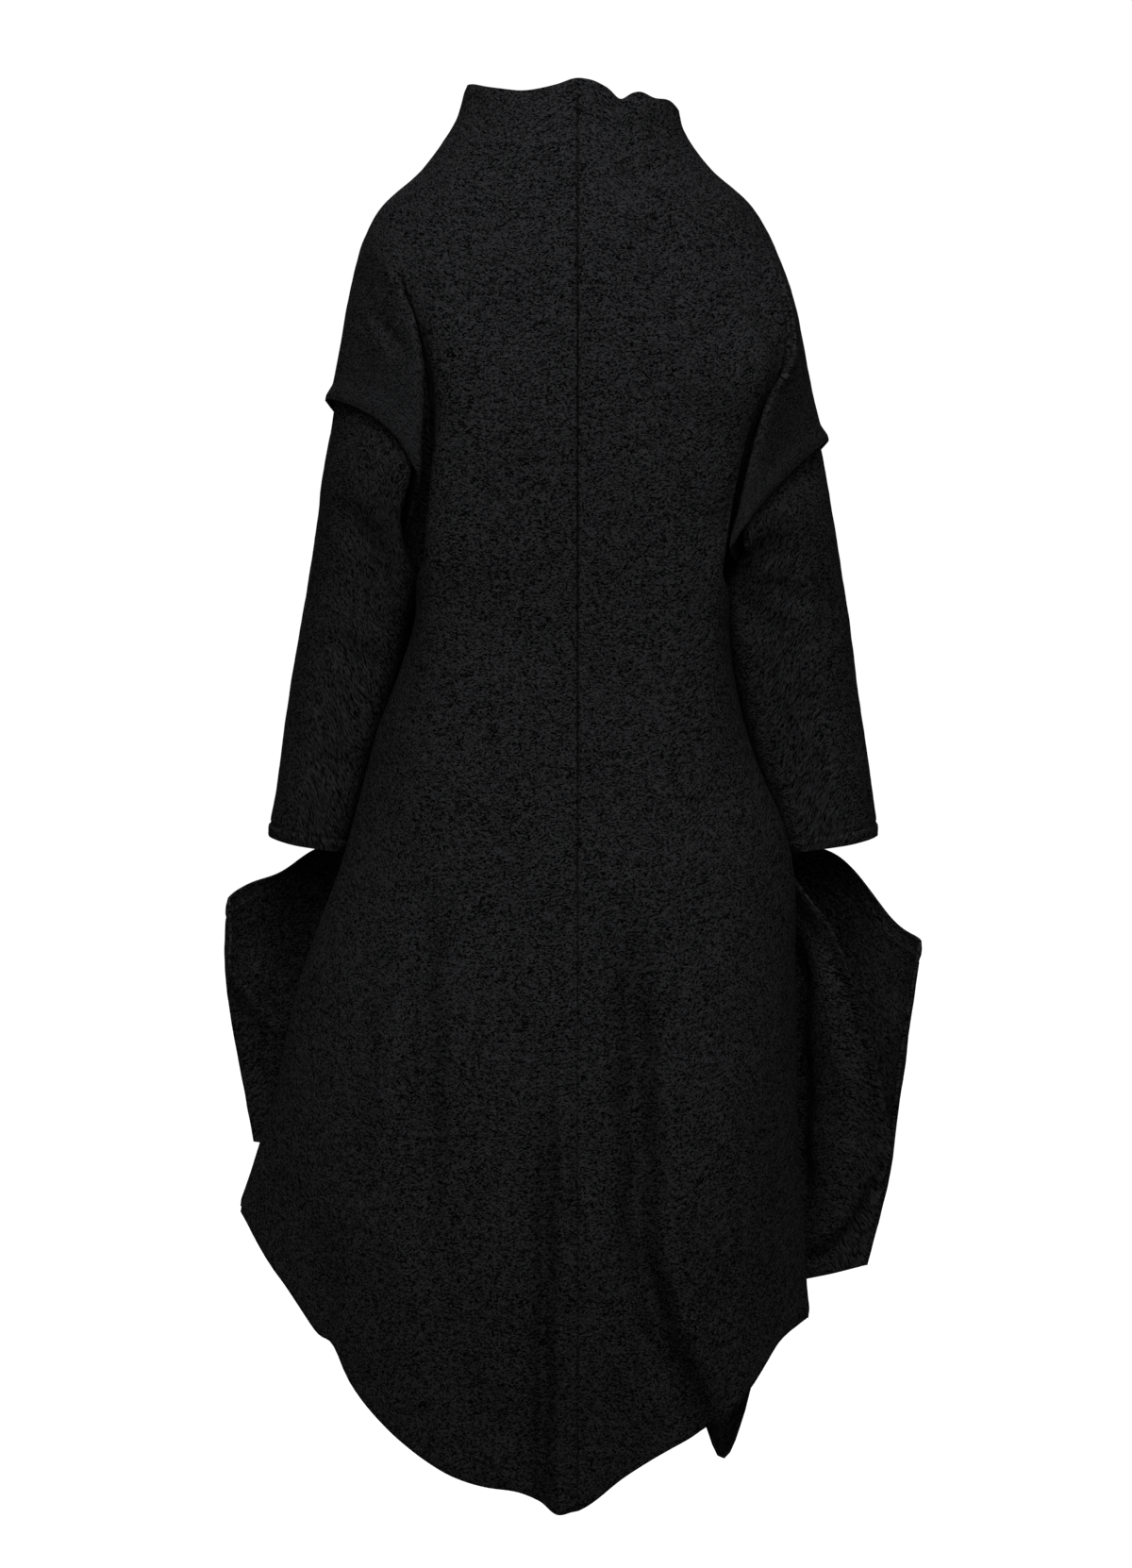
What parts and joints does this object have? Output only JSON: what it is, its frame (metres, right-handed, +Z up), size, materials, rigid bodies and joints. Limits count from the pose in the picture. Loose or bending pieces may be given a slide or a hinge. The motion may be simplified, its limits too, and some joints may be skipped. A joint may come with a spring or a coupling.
{
  "type": "long coat",
  "caption": "Long funnel-neck coat of black boiled wool, worn and hollow, with capped dropped shoulders, wide lower sleeves, standing side pockets and a full skirt that dips at the back.",
  "frame": {"origin": "midway between the shoulders, at the height where the coat rests on them", "axes": "+Z up along the body, +Y towards the wearer's front, +X towards the wearer's right side"},
  "size_m": [0.6099, 0.3319, 1.2211],
  "materials": {
    "boiled_wool": "matt felted wool with a short nap"
  },
  "bodies": {
    "root": {"back_left": "boiled_wool", "back_right": "boiled_wool", "front_left": "boiled_wool", "front_right": "boiled_wool", "sleeve_left": "boiled_wool", "sleeve_right": "boiled_wool", "pocket_left": "boiled_wool", "pocket_right": "boiled_wool"}
  },
  "joints": []
}
